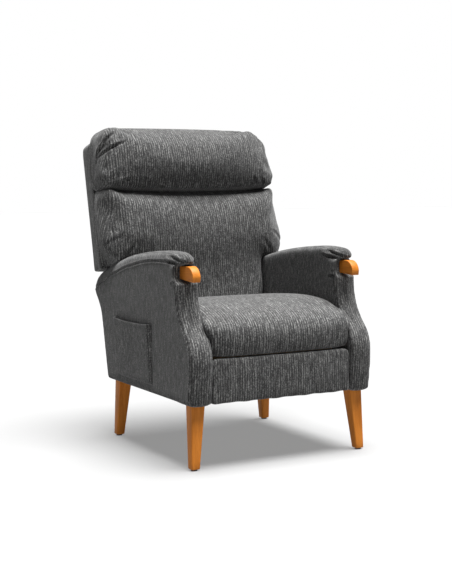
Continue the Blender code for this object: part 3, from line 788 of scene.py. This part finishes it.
def rest_on_arms(piece, gap, clear=0.003):
    """Let the wings' lower edges sink onto the tops of the arms."""
    points = get_points(piece)
    above = points[:, 2] - arm_top(points[:, 1]) - clear
    outside = ramp(np.abs(points[:, 0]), ARM_IN - 0.004, ARM_IN + 0.012)
    points[:, 2] -= gap * outside * (1 - ramp(above, gap, gap + 0.09)) * (above > -0.01)
    set_points(piece, points)


def lumbar():
    """The lumbar cushion: narrow between the arms, with wings that rest on top of them."""
    face = BACK_FRONT - 0.001
    top = SEAM_W + 0.004
    narrow, full = 0.240, ARM_IN - 0.002
    upper = tee(0.350, full, -0.075, WING_FOOT + 0.008, top, 0.014)
    lower = [(narrow, BACK_FOOT), (narrow, -0.125)]
    outline = lower + upper + [(-x, w) for x, w in reversed(lower)]
    piece = prism("upholstery_lumbar", "y", outline, -0.168, face)
    remesh(piece, CUSHION_VOXEL)
    relax(piece, 4)
    points = get_points(piece)
    forward = ramp(-points[:, 1], 0.085, 0.160)
    across = np.clip(1 - (points[:, 0] / 0.36) ** 2, 0, 1)
    height = np.clip((points[:, 2] - WING_FOOT + 0.10) / (SEAM_W - WING_FOOT + 0.10), 0, 1)
    points[:, 1] -= forward * (0.004 + 0.014 * across * np.sin(np.pi * height) ** 0.7)
    points[:, 2] += (seam_height(points[:, 0]) - SEAM_W) * ramp(points[:, 2], SEAM_W - 0.08, SEAM_W)
    wing = ramp(np.abs(points[:, 0]), 0.27, 0.34) * bell(points[:, 1], -0.125, 0.05)
    swell = np.sin(np.pi * np.clip((points[:, 2] - WING_FOOT + 0.05) / (SEAM_W - WING_FOOT + 0.06), 0, 1))
    points[:, 0] += np.sign(points[:, 0]) * 0.010 * wing * swell
    set_points(piece, points)
    between_arms = np.abs(points[:, 0]) > full - 0.008
    pinned = (points[:, 1] > face - 0.012) | (points[:, 2] < BACK_FOOT + 0.05)
    inflate(piece, pinned | (between_arms & (points[:, 2] < WING_FOOT)), 0.024)
    relax(piece, 3)
    points = get_points(piece)
    waist = (1 - ramp(np.abs(points[:, 0]), 0.18, 0.30)) * (1 - ramp(points[:, 2], 0.14, 0.32))
    relax(piece, 220, waist * ramp(-points[:, 1], 0.10, 0.14))
    corners = ramp(np.abs(points[:, 0]), 0.24, 0.32) * ramp(points[:, 2], 0.16, 0.24)
    relax(piece, 30, corners * ramp(-points[:, 1], 0.085, 0.115))
    for sign in (1.0, -1.0):
        fit_side(piece, sign, LUMBAR_SIDE)
    relax(piece, 2)
    subdivide(piece)
    to_row(piece)
    rest_on_arms(piece, 0.013)
    for sign in (1.0, -1.0):
        for fold in (((0.342, -0.120, 0.100), (0.290, -0.178, 0.140)),
                     ((0.300, -0.150, 0.062), (0.255, -0.180, 0.115))):
            path = [(sign * x, v, w) for x, v, w in fold]
            crease(piece, row_path(path), 0.0025, 0.007)
    dress(piece, "back", CLOTH, "chenille", "lumbar_cushion", fill=0.75)


def headrest():
    """The headrest cushion, gathered at its seam and folded at the sitter's right top corner."""
    face = BACK_FRONT - 0.001
    half, crest = 0.350, 0.546
    round_left, round_right = 0.085, 0.058
    foot = SEAM_W - 0.002
    outline = [(-half, foot), (half, foot),
               *arc((half - round_left, crest - round_left), round_left, 0, 90, 12),
               *arc((-half + round_right, crest - round_right), round_right, 90, 180, 12)]
    piece = prism("upholstery_headrest", "y", outline, -0.172, face)
    remesh(piece, CUSHION_VOXEL)
    relax(piece, 6)
    points = get_points(piece)
    relax(piece, 10, ramp(points[:, 2], 0.46, 0.52))
    points = get_points(piece)
    forward = ramp(-points[:, 1], 0.085, 0.160)
    across = np.clip(1 - (points[:, 0] / 0.36) ** 2, 0, 1)
    rise = np.clip((points[:, 2] - foot) / (crest - foot), 0, 1)
    points[:, 1] -= forward * (0.004 + 0.018 * across ** 0.5 * bell(rise, 0.38, 0.36))
    points[:, 2] += (seam_height(points[:, 0]) - SEAM_W) * (1 - ramp(points[:, 2], SEAM_W, SEAM_W + 0.08))
    points[:, 0] *= 1 - np.where(points[:, 0] > 0, 0.056, 0.006) * rise
    points[:, 0] *= 1 - 0.030 * (1 - ramp(rise, 0.0, 0.16)) * forward
    points[:, 0] -= 0.005
    set_points(piece, points)
    points = get_points(piece)
    pinned = (points[:, 1] > face - 0.012) | (points[:, 2] < seam_height(points[:, 0]) + 0.006)
    inflate(piece, pinned, 0.026)
    relax(piece, 2)
    fit_side(piece, 1.0, HEAD_LEFT)
    fit_side(piece, -1.0, HEAD_RIGHT)
    relax(piece, 2)
    subdivide(piece)
    to_row(piece)
    folds = (
        ([(-0.352, -0.120, 0.405), (-0.338, -0.145, 0.455), (-0.290, -0.165, 0.500)], 0.0075, 0.0048),
        ([(-0.345, -0.140, 0.420), (-0.312, -0.170, 0.445), (-0.260, -0.180, 0.466)], 0.0070, 0.0048),
        ([(-0.335, -0.140, 0.362), (-0.318, -0.160, 0.332)], 0.004, 0.0060),
        ([(-0.315, -0.170, 0.322), (-0.250, -0.190, 0.338)], 0.005, 0.0060),
        ([(0.276, -0.185, 0.345), (0.298, -0.165, 0.318)], 0.006, 0.0055),
        ([(0.244, -0.190, 0.345), (0.262, -0.180, 0.322)], 0.005, 0.0055),
        ([(0.322, -0.150, 0.352), (0.335, -0.120, 0.328)], 0.006, 0.0055),
    )
    for path, depth, width in folds:
        crease(piece, row_path(path), depth, width)
    dress(piece, "back", CLOTH, "chenille", "headrest_cushion", fill=0.8)


# ---------------------------------------------------------------- pocket and rear rail
def magazine_pocket():
    """The patch pocket: one bent sheet of cloth with a turned hem, sewn down on three sides."""
    low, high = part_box("magazine_pocket")
    wall = 0.0025
    rows, columns = 40, 60
    points = []
    for r in range(rows + 1):
        t = r / rows
        for c in range(columns + 1):
            s = c / columns
            stand = min(1.0, s / 0.05, (1 - s) / 0.05, t / 0.05)
            gape = 0.0135 * math.sin(math.pi / 2 * max(0.0, stand)) * (0.45 + 0.55 * t ** 1.5)
            dip = 0.006 * math.sin(math.pi * s) * t ** 6
            ripple = 0.0012 * math.sin(9 * s + 2 * t) * math.sin(math.pi * s)
            points.append((-ARM_OUT - 0.0008 - gape - ripple * stand, low[1] + s * (high[1] - low[1]),
                           low[2] + t * (high[2] - low[2]) - dip))
    faces = [(r * (columns + 1) + c, r * (columns + 1) + c + 1, (r + 1) * (columns + 1) + c + 1,
              (r + 1) * (columns + 1) + c) for r in range(rows) for c in range(columns)]
    piece = mesh_object("upholstery_pocket", points, faces)
    mod = piece.modifiers.new("cloth", "SOLIDIFY")
    mod.thickness = wall
    mod.offset = 0.0
    baked(piece)
    subdivide(piece)
    dress(piece, "base", CLOTH, "chenille", "magazine_pocket")
    hem_path = [(p[0] - 0.0018, p[1], p[2] - 0.014) for p in points[-(columns + 1):]]
    stitches("pocket_hem_stitches", hem_path, "base")


def stitches(name, path, body, pitch=0.0052, length=0.0036, radius=0.00045):
    """A row of short threads along a path."""
    data = bpy.data.curves.new(name, "CURVE")
    data.dimensions = "3D"
    data.bevel_depth = radius
    data.bevel_resolution = 1
    data.use_fill_caps = True
    path = [Vector(p) for p in path]
    reach = [0.0]
    for first, second in zip(path, path[1:]):
        reach.append(reach[-1] + (second - first).length)

    def at(distance):
        k = min(max(1, int(np.searchsorted(reach, distance))), len(path) - 1)
        t = (distance - reach[k - 1]) / max(reach[k] - reach[k - 1], 1e-9)
        return path[k - 1].lerp(path[k], t)

    for k in range(int(reach[-1] / pitch)):
        spline = data.splines.new("POLY")
        spline.points.add(1)
        for point, distance in zip(spline.points, (k * pitch + 0.001, k * pitch + 0.001 + length)):
            point.co = (*at(distance), 1.0)
    piece = link(bpy.data.objects.new(name, data))
    dress(piece, body, THREAD, "chenille")


def rear_rail():
    """The covered rail that joins the arms behind the seat."""
    low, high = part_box("rear_rail")
    bottom, rear = BASE_Z + 0.001, high[1] + 0.003
    outline = [(low[1], bottom), (rear, bottom), (rear, high[2]), (low[1], high[2])]
    piece = prism("upholstery_rear_rail", "x", outline, low[0], high[0])
    remesh(piece, CUSHION_VOXEL)
    relax(piece, 3)
    subdivide(piece)
    dress(piece, "base", CLOTH, "chenille", "rear_rail", fill=0.2)


# ---------------------------------------------------------------- CAD nodes that stay
def finish_frame():
    """Give every CAD node the finish of its material slot."""
    finishes = {
        "frame_wood": timber("frame_wood", "x", (0.62, 0.45, 0.27), (0.45, 0.29, 0.15), 0.6, 0.0, 0.7),
        "show_wood": LEG_WOOD,
        "black_steel": paint(),
        "spring_wire": wire(),
        "nylon": plastic("nylon", (0.72, 0.71, 0.67), 0.35),
        "plastic_black": plastic("plastic_black", (0.022, 0.022, 0.024), 0.45),
        "black_lining": lining(),
        "chenille": CLOTH,
    }
    slots = {s["node"]: s["material_slot"] for s in frame["record"]["subparts"]}
    for node, obj in frame["nodes"].items():
        material = finishes[slots[node]]
        if not obj.material_slots:
            obj.data.materials.append(material)
        for place in obj.material_slots:
            place.material = material


# ---------------------------------------------------------------- camera, light and floor
CAMERA_PLACE = Vector((-1.8588, front(-3.1060), 0.8460))
CAMERA_AZIMUTH, CAMERA_PITCH, CAMERA_ROLL = (math.radians(a) for a in (-28.08, 4.717, -0.51))
CAMERA_LENS = 70.09
FLOOR_TONE, FLOOR_GLOW = 0.176, 0.28


def camera():
    """The camera the chair is shown from."""
    ahead = Vector((-math.sin(CAMERA_AZIMUTH) * math.cos(CAMERA_PITCH),
                    math.cos(CAMERA_AZIMUTH) * math.cos(CAMERA_PITCH), -math.sin(CAMERA_PITCH)))
    right = Vector((math.cos(CAMERA_AZIMUTH), math.sin(CAMERA_AZIMUTH), 0.0))
    up = right.cross(ahead)
    turned_right = right * math.cos(CAMERA_ROLL) + up * math.sin(CAMERA_ROLL)
    turned_up = -right * math.sin(CAMERA_ROLL) + up * math.cos(CAMERA_ROLL)
    data = bpy.data.cameras.new("camera")
    data.lens = CAMERA_LENS
    data.sensor_width = 36.0
    obj = link(bpy.data.objects.new("camera", data))
    turn = Matrix((turned_right, turned_up, -ahead)).transposed().to_4x4()
    obj.matrix_world = Matrix.Translation(CAMERA_PLACE) @ turn
    bpy.context.scene.camera = obj


def sun(name, azimuth, elevation, strength, spread, colour=(1.0, 1.0, 1.0)):
    """A far, soft light; azimuth is counted from -Y towards +X."""
    data = bpy.data.lights.new(name, "SUN")
    data.energy = strength
    data.angle = math.radians(spread)
    data.color = colour
    obj = link(bpy.data.objects.new(name, data))
    turn, rise = math.radians(azimuth), math.radians(elevation)
    source = Vector((math.sin(turn) * math.cos(rise), -math.cos(turn) * math.cos(rise), math.sin(rise)))
    obj.location = source * 6.0
    obj.rotation_euler = (-source).to_track_quat("-Z", "Y").to_euler()


def studio():
    """A pale floor and a plain white surround under a soft overhead light."""
    floor = mesh_object("floor", [(-60, -60, 0), (60, -60, 0), (60, 60, 0), (-60, 60, 0)], [(0, 1, 2, 3)])
    n = Nodes("floor")
    floor.data.materials.append(n.finish((FLOOR_TONE, FLOOR_TONE, FLOOR_TONE), None, 0.9,
                                         Specular_IOR_Level=0.0, Emission_Color=(1.0, 1.0, 1.0, 1.0),
                                         Emission_Strength=FLOOR_GLOW))
    sun("top_light", 55, 82, 13.5, 40)
    sun("front_light", 20, 30, 0.08, 60)
    world = bpy.data.worlds.new("studio")
    bpy.context.scene.world = world
    world.use_nodes = True
    tree = world.node_tree
    shade = tree.nodes["Background"]
    shade.inputs["Color"].default_value = (1.0, 1.0, 1.0, 1.0)
    shade.inputs["Strength"].default_value = 0.04
    bright = tree.nodes.new("ShaderNodeBackground")
    bright.inputs["Color"].default_value = (1.0, 1.0, 1.0, 1.0)
    bright.inputs["Strength"].default_value = 1.0
    ray = tree.nodes.new("ShaderNodeLightPath")
    blend = tree.nodes.new("ShaderNodeMixShader")
    tree.links.new(ray.outputs["Is Camera Ray"], blend.inputs[0])
    tree.links.new(shade.outputs[0], blend.inputs[1])
    tree.links.new(bright.outputs[0], blend.inputs[2])
    tree.links.new(blend.outputs[0], tree.nodes["World Output"].inputs["Surface"])
    bpy.context.scene.view_settings.view_transform = "Standard"


# ---------------------------------------------------------------- everything
camera()
studio()
finish_frame()
for arm_name, arm_side in SIDES:
    arm(arm_name, arm_side)
    knuckle(arm_name)
    for leg_end in ("front", "rear"):
        leg(leg_end, arm_name)
seat_cushion()
footrest_pad()
outer_back()
lumbar()
headrest()
magazine_pocket()
rear_rail()
